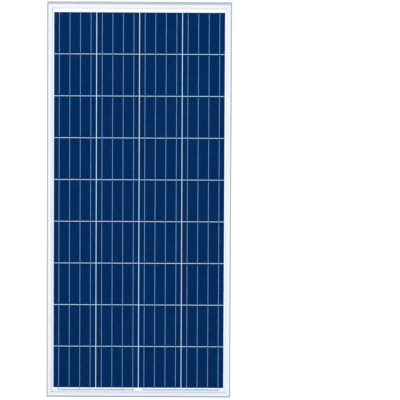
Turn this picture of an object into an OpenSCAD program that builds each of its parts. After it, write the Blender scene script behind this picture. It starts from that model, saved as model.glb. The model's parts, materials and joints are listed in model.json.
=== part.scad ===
// Framed solar panel with 36 polycrystalline cells, a junction box and two plug-ended leads.
// Millimetres, +Z up the panel's long side, front glass towards -Y, mounting flange plane at y = 0.
// The origin is the centre of the mounting-hole pattern on the flange plane.

/* [Panel] */
// Overall width
panel_w = 688; // [660:1:720]
// Overall height
panel_h = 1500; // [1490:1:1540]
// Overall depth of the frame
panel_d = 35; // [34:1:40]

/* [Frame section] */
// Wall thickness of the aluminium extrusion
wall = 1.6; // [1.4:0.1:1.8]
// Width of the front lip over the glass
lip_w = 18; // [14:1:20]
// Width of the rear mounting flange
flange_w = 27; // [25:1:32]
// Outside width of the hollow chamber
chamber_w = 11; // [10:0.5:12]
// Width of the bevel on the front outer edge
bevel_w = 5; // [4:0.5:6]
// Depth of the bevel on the front outer edge
bevel_d = 3.5; // [3:0.5:4]
// Arm length of the corner keys
key_arm = 44; // [30:1:45]

/* [Mounting holes] */
// Distance of every flange hole from the panel's outer side
hole_inset = 18; // [17:0.5:20]
// Diameter of the rack holes
rack_hole_d = 9; // [7:0.5:9]
// Spacing of the outer pair of rack holes along the side
rack_outer_pitch = 1290; // [1200:2:1320]
// Spacing of the inner pair of rack holes along the side
rack_inner_pitch = 900; // [800:2:1000]
// Diameter of the earthing hole in each side
earth_hole_d = 4.2; // [4:0.1:5]

/* [Cells] */
// Edge length of a square cell
cell = 157; // [156:0.25:157]
// Gap between strings
string_gap = 2.5; // [2:0.5:4]
// Gap between the cells of one string
cell_gap = 2; // [2:0.5:3]
// How far the cell field sits below the panel's centre
field_drop = 0; // [0:0.5:3]
// Width of a cell ribbon
ribbon_w = 1.4; // [1:0.1:1.8]
// Width of a bus ribbon
bus_w = 5; // [4:0.5:6]

/* [Laminate] */
// Glass thickness
glass_t = 3.2; // [3:0.1:3.4]
// Thickness of each encapsulant sheet
encapsulant_t = 0.45; // [0.4:0.05:0.5]
// Backsheet thickness
backsheet_t = 0.3; // [0.2:0.05:0.35]

/* [Junction box] */
// Distance from the panel's top edge to the box's centre
box_drop = 80.5; // [76:0.5:90]
// Half the width over the side walls
box_half_w = 30; // [28:0.5:32]
// Half the height over the end walls
box_half_h = 40.5; // [38:0.5:42]
// Radius of the four corner lobes
lobe_r = 7; // [6:0.5:8]
// Height of the closed box above the backsheet
box_depth = 22; // [21:0.5:23]
// Distance of each cable gland from the box's centre line
gland_x = 12.5; // [12:0.5:14]

/* [Leads] */
// Diameter of each lead
lead_d = 6; // [5:0.5:6]
// Distance of the coil's centre to the side of the panel's centre line
coil_side = 96; // [94:1:98]
// Distance of the coil's centre below the panel's top edge
coil_drop = 224; // [222:1:226]

/* [Hidden] */
$fn = 48;
through = 1; // how far a cutter runs past the face it cuts

// Frame section: u runs inward from the outer side, y from the front (-panel_d) to the rear (0)
sealant_t = 0.6;
front_y = -panel_d;
lip_back = front_y + wall;
glass_front = lip_back + sealant_t;
glass_back = glass_front + glass_t;
strip_t = 0.2;
layer_front = glass_back + encapsulant_t;
cell_front = layer_front + strip_t;
cell_back = cell_front + strip_t;
layer_back = cell_back + strip_t;
rear_encapsulant_back = layer_back + encapsulant_t;
sheet_back = rear_encapsulant_back + backsheet_t;
shelf_front = sheet_back + sealant_t;
shelf_back = shelf_front + wall;
inner_bevel_inset = 0.5;
inner_bevel_drop = 0.7;
inner_corner = [wall, front_y + bevel_d + inner_bevel_drop];
inner_bevel_end = bevel_w + inner_bevel_inset;
bead_side_play = 0.5;
bead_lip_inset = 1;
bead_corner_play = 0.2;
laminate_inset = 5;
laminate_w = panel_w - 2 * laminate_inset;
laminate_h = panel_h - 2 * laminate_inset;
squeeze_out = 1.5;
notch_r = 4;
notch_depth = 7;
notch_places = [50, 100];
rivet_inset = 6.5;
rivet_head_r = 3.2;
rivet_head_t = 0.8;
rivet_shank_r = 2;
rivet_length = 8;
rivet_play = 0.05;
key_play = 0.05;

// Junction box outline
box_z = panel_h / 2 - box_drop;
box_bottom = box_z - box_half_h;
box_top = box_z + box_half_h;

// Cell field
strings = 4;
cells_per_string = 9;
ribbons_per_cell = 4;
string_pitch = cell + string_gap;
cell_pitch = cell + cell_gap;
field_w = strings * cell + (strings - 1) * string_gap;
field_h = cells_per_string * cell + (cells_per_string - 1) * cell_gap;
field_top = field_h / 2 - field_drop;
field_bottom = field_top - field_h;
ribbon_pitch = cell / ribbons_per_cell;
ribbon_start = 4; // bare stretch of a cell past each end of its ribbons
bus_overhang = 5;
bus_bottom_z = field_bottom - 8;
bus_row_1 = field_top + 7;
bus_row_2 = field_top + 15;
cover_strip_t = 0.15;
cover_strip_h = 20;
cover_strip_z = field_top + 12.5;
cover_strip_w = field_w - 10;
layer_pocket = [field_w + 6, field_h + 40];
lead_out_x = gland_x;
lead_out_z = box_z + 26.5;
lead_out_front = layer_back + 0.1;
lead_out_back = lead_out_front + strip_t;
lead_out_fold = 5;
lead_out_slot = [bus_w + 2, 3];
pocket_w = 2 * lead_out_x + 12;
pocket_low = lead_out_z - 4;
pocket_high = bus_row_2 + bus_w / 2 + 0.5;
insulator_w = 2 * lead_out_x + 10;
insulator_low = lead_out_z + 1;
insulator_high = bus_row_1 + bus_w / 2 + 1;
insulator_hole = bus_w + 0.4;

// Labels: [width, height] and [to the right seen from behind, below the panel's top edge]
label_t = 0.15;
rating_size = [67, 116];
rating_place = [5, 277];
serial_size = [33, 8.5];
serial_place = [179, 165];

// Junction box walls, lid, hinge and latch
lobe_x = box_half_w - 3;
lobe_z = box_half_h - 4;
glue_t = 0.8;
glue_squeeze = 0.8;
floor_front = sheet_back + glue_t;
floor_t = 2;
floor_back = floor_front + floor_t;
side_wall = 2.4;
lid_back = sheet_back + box_depth;
lid_t = 2.5;
lid_gap = 0.3;
lid_inset = 0.3;
rim_play = 0.4;
rim_back = lid_back - lid_t - lid_gap;
rim_depth = 3;
rim_t = 1.4;
gasket_depth = 1.6;
gasket_w = 1;
gasket_inset = 0.6;
hinge_y = rim_back - 0.3;
hinge_z = box_top + 4;
pin_r = 1.25;
pin_play = 0.05;
knuckle_r = 3;
knuckle_w = 5.8;
ear_r = 2.4;
ear_w = 4;
ear_gap = 0.3;
ear_lap = 2;
knuckle_lap = 0.5;
hinge_bore_length = 6 * knuckle_w;
raised_size = [38, 54];
raised_cut = 4;
raised_t = 0.8;
catch_h = 0.4;
latch_w = 10;
latch_t = 1.6;
latch_gap = 0.8;
latch_drop = 13;
latch_window = [5.6, 3.4];
latch_window_end = 1.8;
catch_size = [4, 2.5];
window = [44, 12];

// Terminals and diodes: plates stand on posts above the floor
terminal_back = sheet_back + 7.6;
terminal_t = 1;
terminal_front = terminal_back + terminal_t;
terminal_w = 9;
terminal_low = box_z - 27.5;
middle_terminal_low = box_z + 8.5;
post_r = 2.5;
post_z = [box_z + 16.5, box_z - 17.5];
crimp_z = box_z - 26.5;
crimp_offset = 3.1;
crimp = [0.8, 3.4, 8];
conductor_r = 1.25;
conductor_length = 12;
diode_r = 2.6;
diode_length = 8;
diode_lift = 3.1;
diode_z = box_z + 14.5;
diode_inner = 1.5;
wire_r = 0.6;
wire_leg_r = 0.8;

// Cable glands: their axis runs down the panel, gland_h above the backsheet
gland_h = 10;
gland_y = sheet_back + gland_h;
spigot_r = 4.6;
spigot_length = 9;
gland_bore_r = lead_d / 2 + 0.3;
thread_play = 0.06;
nut_flat = 12;
nut_length = 9.6;
nut_cap = 2.6;
nut_top = box_bottom - 1.4;
nut_bottom = nut_top - nut_length - nut_cap;
seal_r = 4.4;
seal_t = 1.8;
seal_play = 0.15;
seal_lift = 0.05;
nut_mouth_r = lead_d / 2 + 1.4;

// Plugs: built along their own axis with the cable end at 0 and the mating end at +z
plug_nut_length = 14;
plug_nut_r = 8.6;
plug_nut_end_r = 5.2;
plug_body_r = 8;
plug_length = 50;
plug_barrel_r = 7.4;
plug_nose_r = 5.2;
plug_socket_r = 5.7;
plug_contact_r = 2;
plug_thread_r = 6.4;
plug_bore_r = lead_d / 2 + 0.2;
plug_lead_depth = 10; // how far a lead reaches into its plug
plug_play = 0.05;
plug_nut_cone = 5;
plug_nut_wall = 3; // from the nut's end to its thread
plug_core_from = 5.8;
plug_core_to = 14;
plug_shoulder_gap = 0.3;
plug_shoulder = 30;
plug_seal_from = 3.2;
plug_groove = [2, 1.6];
plug_groove_depth = 0.5;
plug_groove_from = 6;
plug_grooves = 12;
plug_bore_length = 25;
plug_contact_from = plug_lead_depth + 0.2;
plug_pin_inset = 4; // from the mouth to the pin's tip
plug_arm = [1.8, 5];
plug_arm_lap = 0.8;
plug_arm_ends = [2, 3];
plug_catch = [3, 6, 5];
plug_catch_from = 22;
plug_sleeve_r = plug_contact_r + 1;
plug_sleeve_from = 20;
plug_sleeve_inset = 1;
plug_sleeve_solid = 4;

// The tie round the coil where it closes
tie_place = [26.2, 228];
tie_hole = [25, 6.6];
tie_band = 1.1;
tie_depth = 4;
tie_lift = 0.2;
tie_head = [5, 5.5, 5.6];

// Lead routes: [to the right seen from behind, below the panel's top edge, above the backsheet]
coil_lift = 4.6;
coil_outer = [62.5, 72.5];
coil_inner = [55.5, 65.5];
coil_shrink = 7;
positive_start = [
    [-12.5, 110, 10], [-12.5, 124, 10], [-12.5, 140, 10], [-11.5, 152, 9.6], [-7.5, 164, 8.2],
    [-2, 176, 6.4], [5, 188, 5], [12.5, 200, 4.6], [20.5, 211.5, 4.6], [28, 223.5, 4.6],
    [33, 235, 4.6], [36.6, 245.5, 4.6]
];
positive_end = [[37.7, 192.3, 16.8], [34.2, 198.9, 17.4], [32.6, 206.3, 17.8], [32.9, 213.7, 18]];
negative_start = [
    [12.5, 110, 10], [12.5, 124, 10], [12.5, 140, 10], [12.8, 152, 9.6], [14.2, 164, 8.2],
    [17, 176, 6.4], [21, 187.5, 5], [25.8, 198.5, 4.6], [30.6, 209.5, 4.6], [35, 220.5, 4.6],
    [39, 231.5, 4.6], [42.5, 242, 4.6]
];
negative_end = [[55.5, 257.1, 5.8], [63.4, 268, 8.6], [72.4, 274.2, 10.6], [81.8, 276.1, 11.2]];
positive_plug_at = [35.2, 221, 18];
positive_plug_towards = [56.4, 266.3, 18];
negative_plug_at = [91, 274, 11.2];
negative_plug_towards = [136.7, 253.7, 11.2];
coil_from = 27;
coil_step = 14;
positive_coil_to = 322;
negative_coil_to = 377;
climb_from = 250;
climb_over = 75;
climb = 11;
shrink_from = 180;
shrink_over = 190;

function smooth(x) = let (c = min(1, max(0, x))) c * c * (3 - 2 * c);
function ellipse_point(axes, t, lift) =
    [coil_side - axes[0] * cos(t), coil_drop + axes[1] * sin(t), lift];
function positive_coil_point(t) =
    ellipse_point(coil_outer, t, coil_lift + climb * smooth((t - climb_from) / climb_over));
function negative_coil_point(t) =
    let (less = coil_shrink * smooth((t - shrink_from) / shrink_over))
    ellipse_point(coil_inner - [less, less], t, coil_lift);
function unit(v) = v / norm(v);
function into_plug(at, towards) = at + plug_lead_depth * unit(towards - at);
function placed(p) = [-p[0], sheet_back + p[2], panel_h / 2 - p[1]];

positive_route = concat(
    positive_start,
    [for (t = [coil_from : coil_step : positive_coil_to]) positive_coil_point(t)],
    positive_end,
    [positive_plug_at, into_plug(positive_plug_at, positive_plug_towards)]
);
negative_route = concat(
    negative_start,
    [for (t = [coil_from : coil_step : negative_coil_to]) negative_coil_point(t)],
    negative_end,
    [negative_plug_at, into_plug(negative_plug_at, negative_plug_towards)]
);

// ---------- frame ----------

module frame_section() {
    difference() {
        polygon([
            [0, 0], [0, front_y + bevel_d], [bevel_w, front_y], [lip_w, front_y],
            [lip_w, lip_back], [inner_bevel_end, lip_back], inner_corner, [wall, shelf_front],
            [chamber_w, shelf_front], [chamber_w, -wall], [flange_w, -wall], [flange_w, 0]
        ]);
        polygon([
            [wall, shelf_back], [chamber_w - wall, shelf_back],
            [chamber_w - wall, -wall], [wall, -wall]
        ]);
    }
}

// A prism over the rail's plan, with its ends cut at 45 degrees
module mitred_plan(length) {
    deep = flange_w + through;
    translate([0, through, 0])
        rotate([90, 0, 0])
        linear_extrude(panel_d + 2 * through)
        polygon([
            [0, -length / 2], [deep, deep - length / 2], [deep, length / 2 - deep], [0, length / 2]
        ]);
}

module along_y(r, from, to) {
    translate([0, to, 0]) rotate([90, 0, 0]) cylinder(r = r, h = to - from);
}

module rivet_cutter(length) {
    for (end = [-1, 1])
        translate([rivet_inset, 0, end * (length / 2 - rivet_inset)]) {
            along_y(rivet_head_r + rivet_play, -rivet_head_t - rivet_play, through);
            along_y(rivet_shank_r + rivet_play, -2 * wall, through);
        }
}

module drain_notches(length) {
    for (end = [-1, 1], place = notch_places)
        translate([0, 0, end * (length / 2 - place)]) along_y(notch_r, -notch_depth, through);
}

// A rail with its outer side on the plane x = 0 and its length along z
module rail(length) {
    difference() {
        intersection() {
            translate([0, 0, -length / 2]) linear_extrude(length) frame_section();
            mitred_plan(length);
        }
        drain_notches(length);
        rivet_cutter(length);
    }
}

module side_rail() {
    difference() {
        rail(panel_h);
        for (side = [-1, 1], pitch = [rack_outer_pitch, rack_inner_pitch])
            translate([hole_inset, 0, side * pitch / 2])
                along_y(rack_hole_d / 2, -2 * wall, through);
        translate([hole_inset, 0, 0]) along_y(earth_hole_d / 2, -2 * wall, through);
    }
}

module frame_rail_left() {
    color("gainsboro") translate([-panel_w / 2, 0, 0]) side_rail();
}

module frame_rail_right() {
    color("gainsboro") mirror([1, 0, 0]) translate([-panel_w / 2, 0, 0]) side_rail();
}

module frame_rail_bottom() {
    color("gainsboro") translate([0, 0, -panel_h / 2]) rotate([0, -90, 0]) rail(panel_w);
}

module frame_rail_top() {
    color("gainsboro")
        mirror([0, 0, 1])
        translate([0, 0, -panel_h / 2])
        rotate([0, -90, 0])
        rail(panel_w);
}

module at_corners() {
    for (x = [0, 1], z = [0, 1])
        mirror([x, 0, 0]) mirror([0, 0, z]) translate([-panel_w / 2, 0, -panel_h / 2]) children();
}

module corner_keys() {
    outer = wall + key_play;
    inner = chamber_w - wall - key_play;
    from = shelf_back + key_play;
    to = -wall - key_play;
    color("silver")
        at_corners()
        difference() {
            translate([0, to, 0])
                rotate([90, 0, 0])
                linear_extrude(to - from)
                polygon([
                    [outer, outer], [key_arm, outer], [key_arm, inner], [inner, inner],
                    [inner, key_arm], [outer, key_arm]
                ]);
            translate([rivet_inset, 0, rivet_inset])
                along_y(rivet_shank_r + rivet_play, -rivet_length - rivet_play, 0);
        }
}

module corner_rivets() {
    color("whitesmoke")
        at_corners()
        translate([rivet_inset, 0, rivet_inset]) {
            along_y(rivet_head_r, -rivet_head_t, 0);
            along_y(rivet_shank_r, -rivet_length, -rivet_head_t);
        }
}

// ---------- laminate ----------

// A flat block centred on x = 0 and z = at_z, from one depth to another
module sheet(w, h, from, to, at_z = 0, at_x = 0) {
    translate([at_x - w / 2, from, at_z - h / 2]) cube([w, to - from, h]);
}

module sealant_ring(outer_inset, inner_inset, from, to) {
    difference() {
        sheet(panel_w - 2 * outer_inset, panel_h - 2 * outer_inset, from, to);
        sheet(panel_w - 2 * inner_inset, panel_h - 2 * inner_inset, from - through, to + through);
    }
}

module edge_sealant() {
    color("lightgray") {
        sealant_ring(inner_bevel_end + bead_side_play, lip_w - bead_lip_inset, lip_back, glass_front);
        sealant_ring(wall, laminate_inset, inner_corner[1] + bead_corner_play, sheet_back);
        sealant_ring(wall, chamber_w + squeeze_out, sheet_back, shelf_front);
    }
}

module front_glass() {
    color("lightcyan", 0.35) sheet(laminate_w, laminate_h, glass_front, glass_back);
}

module cover_strip_block(from, to) {
    sheet(cover_strip_w, cover_strip_h, from, to, cover_strip_z);
}

module front_encapsulant() {
    color("aliceblue", 0.35)
        difference() {
            sheet(laminate_w, laminate_h, glass_back, layer_front);
            cover_strip_block(layer_front - cover_strip_t, layer_front + through);
        }
}

module bus_cover_strip() {
    color("white") cover_strip_block(layer_front - cover_strip_t, layer_front);
}

module rear_encapsulant() {
    color("white")
        difference() {
            sheet(laminate_w, laminate_h, layer_front, rear_encapsulant_back);
            sheet(layer_pocket[0], layer_pocket[1], layer_front - through, layer_back, -field_drop);
            lead_out_pocket(layer_front - through, lead_out_back);
            lead_out_slots();
        }
}

module backsheet() {
    color("aliceblue")
        difference() {
            sheet(laminate_w, laminate_h, rear_encapsulant_back, sheet_back);
            lead_out_slots();
        }
}

module lead_out_pocket(from, to) {
    sheet(pocket_w, pocket_high - pocket_low, from, to, (pocket_low + pocket_high) / 2);
}

module lead_out_slots() {
    for (x = [-lead_out_x, 0, lead_out_x])
        sheet(lead_out_slot[0], lead_out_slot[1], layer_back, sheet_back + through, lead_out_z, x);
}

function string_x(s) = (s - (strings + 1) / 2) * string_pitch;
function cell_z(c) = field_top - cell / 2 - (c - 1) * cell_pitch;
function ribbon_x(s, r) = string_x(s) + (r - (ribbons_per_cell + 1) / 2) * ribbon_pitch;

module cells_of(s) {
    color("midnightblue")
        for (c = [1 : cells_per_string])
            sheet(cell, cell, cell_front, cell_back, cell_z(c), string_x(s));
}

module cell_string_1() { cells_of(1); }
module cell_string_2() { cells_of(2); }
module cell_string_3() { cells_of(3); }
module cell_string_4() { cells_of(4); }

// One ribbon from the front of an upper cell, through the gap, to the back of the cell below.
// gap_z is the middle of the gap; flip turns it over, for the strings of the other polarity.
module ribbon_over_gap(gap_z, flip) {
    reach = cell_gap / 2 + cell - ribbon_start;
    step = strip_t / 2;
    upper = flip ? cell_back : layer_front;
    lower = flip ? layer_front : cell_back;
    sheet(ribbon_w, reach + step, upper, upper + strip_t, gap_z - step + (reach + step) / 2);
    sheet(ribbon_w, 2 * step, layer_front, layer_back, gap_z);
    sheet(ribbon_w, reach + step, lower, lower + strip_t, gap_z + step - (reach + step) / 2);
}

// The ribbons at a string's ends reach to the bus ribbons beyond the last cells
module ribbon_end(from, to, front) {
    y = front ? layer_front : cell_back;
    sheet(ribbon_w, to - from, y, y + strip_t, (from + to) / 2);
}

module ribbons_of(s) {
    flip = s % 2 == 1;
    outer_string = s == 1 || s == strings;
    top_bus = (outer_string ? bus_row_2 : bus_row_1) + bus_w / 2;
    color("silver")
        for (r = [1 : ribbons_per_cell])
            translate([ribbon_x(s, r), 0, 0]) {
                for (c = [1 : cells_per_string - 1])
                    ribbon_over_gap(cell_z(c) - cell_pitch / 2, flip);
                ribbon_end(field_top - cell + ribbon_start, top_bus, flip);
                ribbon_end(bus_bottom_z - bus_w / 2, field_bottom + cell - ribbon_start, !flip);
            }
}

module string_ribbons_1() { ribbons_of(1); }
module string_ribbons_2() { ribbons_of(2); }
module string_ribbons_3() { ribbons_of(3); }
module string_ribbons_4() { ribbons_of(4); }

module bus(from, to, z) {
    sheet(to - from, bus_w, cell_front, cell_back, z, (from + to) / 2);
}

module bus_ribbons_bottom() {
    outer = -ribbon_x(1, 1) + bus_overhang;
    inner = -ribbon_x(2, ribbons_per_cell) - bus_overhang;
    color("silver") {
        bus(-outer, -inner, bus_bottom_z);
        bus(inner, outer, bus_bottom_z);
    }
}

module bus_ribbons_top() {
    outer = -ribbon_x(1, 1) + bus_overhang;
    middle = -ribbon_x(2, 1) + bus_overhang;
    inner = lead_out_x - bus_w / 2;
    color("silver") {
        bus(-outer, -inner, bus_row_2);
        bus(-middle, middle, bus_row_1);
        bus(inner, outer, bus_row_2);
    }
}

// Keeps the ribbons that run down behind the cells off them; the middle one passes through it
module lead_out_insulator() {
    middle = (insulator_low + insulator_high) / 2;
    hole = insulator_hole;
    color("white")
        difference() {
            sheet(insulator_w, insulator_high - insulator_low, layer_back, lead_out_front, middle);
            sheet(hole, hole, layer_back - through, lead_out_front + through, bus_row_1);
        }
}

// From the bus ribbon down behind the cells, out through the backsheet and over the terminal
module lead_out(x, bus_z) {
    upper = bus_z - bus_w / 2;
    fold_y = terminal_back + terminal_t;
    color("silver") {
        sheet(bus_w, bus_w, cell_back, lead_out_back, bus_z, x);
        sheet(bus_w, upper - lead_out_z, lead_out_front, lead_out_back, (upper + lead_out_z) / 2, x);
        translate([x - bus_w / 2, lead_out_front, lead_out_z - strip_t])
            cube([bus_w, fold_y + strip_t - lead_out_front, strip_t]);
        translate([x - bus_w / 2, fold_y, lead_out_z - lead_out_fold])
            cube([bus_w, strip_t, lead_out_fold]);
    }
}

module lead_out_ribbons() {
    lead_out(-lead_out_x, bus_row_2);
    lead_out(0, bus_row_1);
    lead_out(lead_out_x, bus_row_2);
}

module label(size, place) {
    sheet(size[0], size[1], sheet_back, sheet_back + label_t, panel_h / 2 - place[1], -place[0]);
}

module rating_label() {
    color("lightslategray") label(rating_size, rating_place);
}

module serial_sticker() {
    color("darkslategray") label(serial_size, serial_place);
}

// ---------- junction box ----------

module at_lobes() {
    for (x = [-1, 1], z = [-1, 1]) translate([x * lobe_x, z * lobe_z]) children();
}

module box_outline(less = 0) {
    square([2 * (box_half_w - less), 2 * (box_half_h - less)], center = true);
    at_lobes() circle(r = lobe_r - less);
}

module cavity_outline(less = 0) {
    difference() {
        square(
            [2 * (box_half_w - side_wall - less), 2 * (box_half_h - side_wall - less)],
            center = true
        );
        at_lobes() circle(r = lobe_r + less);
    }
}

// Extrudes an outline in the panel's plane from one depth to another, about the box's centre
module box_slab(from, to) {
    translate([0, to, box_z]) rotate([90, 0, 0]) linear_extrude(to - from) children();
}

module jbox_adhesive() {
    color("lightgray")
        difference() {
            box_slab(sheet_back, floor_front) box_outline(-glue_squeeze);
            sheet(window[0], window[1], sheet_back - through, floor_front + through, lead_out_z);
        }
}

module gland_axes() {
    for (x = [-gland_x, gland_x]) translate([x, gland_y, box_bottom]) children();
}

module inset_square(less) {
    square([2 * (box_half_w - less), 2 * (box_half_h - less)], center = true);
}

module gasket_outline() {
    difference() {
        inset_square(gasket_inset);
        inset_square(gasket_inset + gasket_w);
    }
}

module terminal_post(x, z) {
    translate([x, 0, z]) along_y(post_r, floor_back - floor_t / 2, terminal_back);
}

module terminal_posts() {
    terminal_post(0, post_z[0]);
    for (x = [-lead_out_x, lead_out_x], z = post_z) terminal_post(x, z);
}

module jbox_base() {
    color("#1c2024") {
        difference() {
            union() {
                box_slab(floor_front, rim_back) box_outline();
                gland_axes()
                    translate([0, 0, -spigot_length])
                    cylinder(r = spigot_r, h = spigot_length + through);
            }
            box_slab(floor_back, rim_back + through) cavity_outline();
            box_slab(rim_back - gasket_depth, rim_back + through) gasket_outline();
            sheet(window[0], window[1], floor_front - through, floor_back + through, lead_out_z);
            gland_axes()
                translate([0, 0, -spigot_length - through])
                cylinder(r = gland_bore_r, h = spigot_length + side_wall + 2 * through);
        }
        terminal_posts();
        hinge_knuckle();
        latch_catch();
    }
}

module hinge_bore(r) {
    translate([-hinge_bore_length / 2, hinge_y, hinge_z])
        rotate([0, 90, 0])
        cylinder(r = r, h = hinge_bore_length);
}

module hinge_knuckle() {
    difference() {
        union() {
            translate([-knuckle_w / 2, hinge_y, hinge_z])
                rotate([0, 90, 0])
                cylinder(r = knuckle_r, h = knuckle_w);
            translate([-knuckle_w / 2, hinge_y - knuckle_r, box_top - knuckle_lap])
                cube([knuckle_w, knuckle_r, hinge_z - box_top + knuckle_lap]);
        }
        hinge_bore(pin_r);
    }
}

// A low wedge behind the window of the lid's latch tab
module latch_catch() {
    play = (latch_window[1] - catch_size[1]) / 2;
    from = lid_back - latch_drop + latch_window_end + play;
    translate([-catch_size[0] / 2, from, box_bottom - catch_h])
        cube([catch_size[0], catch_size[1], catch_h + side_wall / 2]);
}

module jbox_gasket() {
    color("dimgray") box_slab(rim_back - gasket_depth, rim_back) gasket_outline();
}

module raised_outline() {
    x = raised_size[0] / 2;
    z = raised_size[1] / 2;
    polygon([
        [x - raised_cut, z], [x, z - raised_cut], [x, raised_cut - z], [x - raised_cut, -z],
        [raised_cut - x, -z], [-x, raised_cut - z], [-x, z - raised_cut], [raised_cut - x, z]
    ]);
}

// The lid: a plate with a raised panel, a locating rim, two hinge ears and a latch tab at the gland end
module jbox_lid() {
    plate_front = lid_back - lid_t;
    color("#20242a") {
        difference() {
            union() {
                box_slab(plate_front, lid_back) box_outline(lid_inset);
                lid_ears();
            }
            hinge_bore(pin_r + pin_play);
        }
        box_slab(plate_front + lid_t / 2, lid_back + raised_t) raised_outline();
        box_slab(plate_front - rim_depth, plate_front + lid_t / 2)
            difference() {
                cavity_outline(rim_play);
                cavity_outline(rim_play + rim_t);
            }
        latch_tab();
    }
}

module lid_ears() {
    for (side = [-1, 1]) {
        near = knuckle_w / 2 + ear_gap;
        x = side > 0 ? near : -near - ear_w;
        translate([x, hinge_y, hinge_z]) rotate([0, 90, 0]) cylinder(r = ear_r, h = ear_w);
        translate([x, lid_back - lid_t, box_top - ear_lap])
            cube([ear_w, hinge_y + ear_r - lid_back + lid_t, hinge_z - box_top + ear_lap]);
    }
}

module latch_tab() {
    z = box_bottom - latch_gap - latch_t;
    end = lid_back - latch_drop;
    difference() {
        union() {
            translate([-latch_w / 2, end, z]) cube([latch_w, latch_drop, latch_t]);
            translate([-latch_w / 2, lid_back - lid_t, z])
                cube([latch_w, lid_t, latch_gap + latch_t + lid_inset + through]);
        }
        translate([-latch_window[0] / 2, end + latch_window_end, z - through])
            cube([latch_window[0], latch_window[1], latch_t + 2 * through]);
    }
}

module jbox_hinge_pin() {
    length = knuckle_w + 2 * (ear_gap + ear_w);
    color("silver")
        translate([-length / 2, hinge_y, hinge_z])
        rotate([0, 90, 0])
        cylinder(r = pin_r, h = length);
}

module terminal_plate(x, low) {
    high = lead_out_z - strip_t;
    sheet(terminal_w, high - low, terminal_back, terminal_front, (high + low) / 2, x);
}

// A terminal with two ears crimped up beside the lead's conductor
module lead_terminal(x) {
    color("goldenrod") {
        terminal_plate(x, terminal_low);
        for (side = [-1, 1])
            translate([x + side * crimp_offset - crimp[0] / 2, terminal_front, crimp_z]) cube(crimp);
    }
}

module terminal_positive() { lead_terminal(lead_out_x); }
module terminal_middle() { color("goldenrod") terminal_plate(0, middle_terminal_low); }
module terminal_negative() { lead_terminal(-lead_out_x); }

module along_x(r, from, to) {
    translate([from, 0, 0]) rotate([0, 90, 0]) cylinder(r = r, h = to - from);
}

// An axial diode lying across two terminal plates on its bent wires
module diode(from, to) {
    middle = (from + to) / 2;
    color("#26282c")
        translate([0, terminal_front + diode_lift, diode_z]) {
            along_x(diode_r, middle - diode_length / 2, middle + diode_length / 2);
            along_x(wire_r, from, to);
            for (x = [from, to]) translate([x, 0, 0]) along_y(wire_leg_r, -diode_lift, wire_leg_r);
        }
}

module bypass_diode_1() { diode(diode_inner, lead_out_x); }
module bypass_diode_2() { diode(-lead_out_x, -diode_inner); }

module conductor_ends() {
    color("peru")
        for (x = [-gland_x, gland_x])
            translate([x, gland_y, panel_h / 2 - positive_start[0][1]])
                cylinder(r = conductor_r, h = conductor_length);
}

// ---------- cable glands ----------

module gland_nut(x) {
    color("#24282e")
        translate([x, gland_y, nut_bottom])
        difference() {
            union() {
                translate([0, 0, nut_cap]) cylinder(d = nut_flat / cos(30), h = nut_length, $fn = 6);
                cylinder(r1 = nut_mouth_r, r2 = nut_flat / 2, h = nut_cap);
            }
            translate([0, 0, nut_cap])
                cylinder(r = spigot_r + thread_play, h = nut_length + through);
            translate([0, 0, -through]) cylinder(r = gland_bore_r, h = nut_cap + 2 * through);
        }
}

// The sealing sleeve stays in the nut when the nut is backed off
module gland_seal(x) {
    color("dimgray")
        translate([x, gland_y, nut_bottom + nut_cap + seal_lift])
        difference() {
            cylinder(r = seal_r, h = seal_t);
            translate([0, 0, -through]) cylinder(r = lead_d / 2 + seal_play, h = seal_t + 2 * through);
        }
}

module gland_nut_positive() { gland_nut(gland_x); }
module gland_nut_negative() { gland_nut(-gland_x); }
module gland_seal_positive() { gland_seal(gland_x); }
module gland_seal_negative() { gland_seal(-gland_x); }

// ---------- leads and plugs ----------

// A round tube swept along a route: each ring stands square to the route at its point
tube_sides = 12;
function route_way(points, i) =
    unit(points[min(len(points) - 1, i + 1)] - points[max(0, i - 1)]);
function tube_ring(points, i, r) =
    let (
        way = route_way(points, i),
        side = unit(cross(way, [0, 1, 0])),
        up = cross(side, way)
    )
    [for (k = [0 : tube_sides - 1])
        points[i] + r * (cos(360 * k / tube_sides) * side + sin(360 * k / tube_sides) * up)];

module tube(points, r) {
    rings = [for (i = [0 : len(points) - 1]) each tube_ring(points, i, r)];
    last = len(points) - 1;
    faces = concat(
        [[for (k = [0 : tube_sides - 1]) k]],
        [for (i = [0 : last - 1], k = [0 : tube_sides - 1])
            let (a = i * tube_sides + k, b = i * tube_sides + (k + 1) % tube_sides)
            [b, a, a + tube_sides, b + tube_sides]],
        [[for (k = [tube_sides - 1 : -1 : 0]) last * tube_sides + k]]
    );
    polyhedron(points = rings, faces = faces);
}

module lead_positive() {
    color("#15181c") tube([for (p = positive_route) placed(p)], lead_d / 2);
}

module lead_negative() {
    color("#15181c") tube([for (p = negative_route) placed(p)], lead_d / 2);
}

// A flat band round the three lead stretches where the coil closes, with its locking head
module lead_tie() {
    outer = tie_hole + [2 * tie_band, 2 * tie_band];
    overhang = (tie_head[2] - tie_depth) / 2;
    color("#101214")
        translate([-tie_place[0], sheet_back + tie_lift, panel_h / 2 - tie_place[1] - tie_depth / 2]) {
            difference() {
                translate([-tie_hole[0] - tie_band, 0, 0]) cube([outer[0], outer[1], tie_depth]);
                translate([-tie_hole[0], tie_band, -through])
                    cube([tie_hole[0], tie_hole[1], tie_depth + 2 * through]);
            }
            translate([tie_band, tie_band, -overhang]) cube(tie_head);
        }
}

// Puts a plug built along +z at the start of its line, turned into the panel's plane
module plug_at(at, towards) {
    start = placed(at);
    way = placed(towards) - start;
    translate(start) rotate([0, atan2(way[0], way[2]), 0]) children();
}

module at_positive_plug() { plug_at(positive_plug_at, positive_plug_towards) children(); }
module at_negative_plug() { plug_at(negative_plug_at, negative_plug_towards) children(); }

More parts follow.
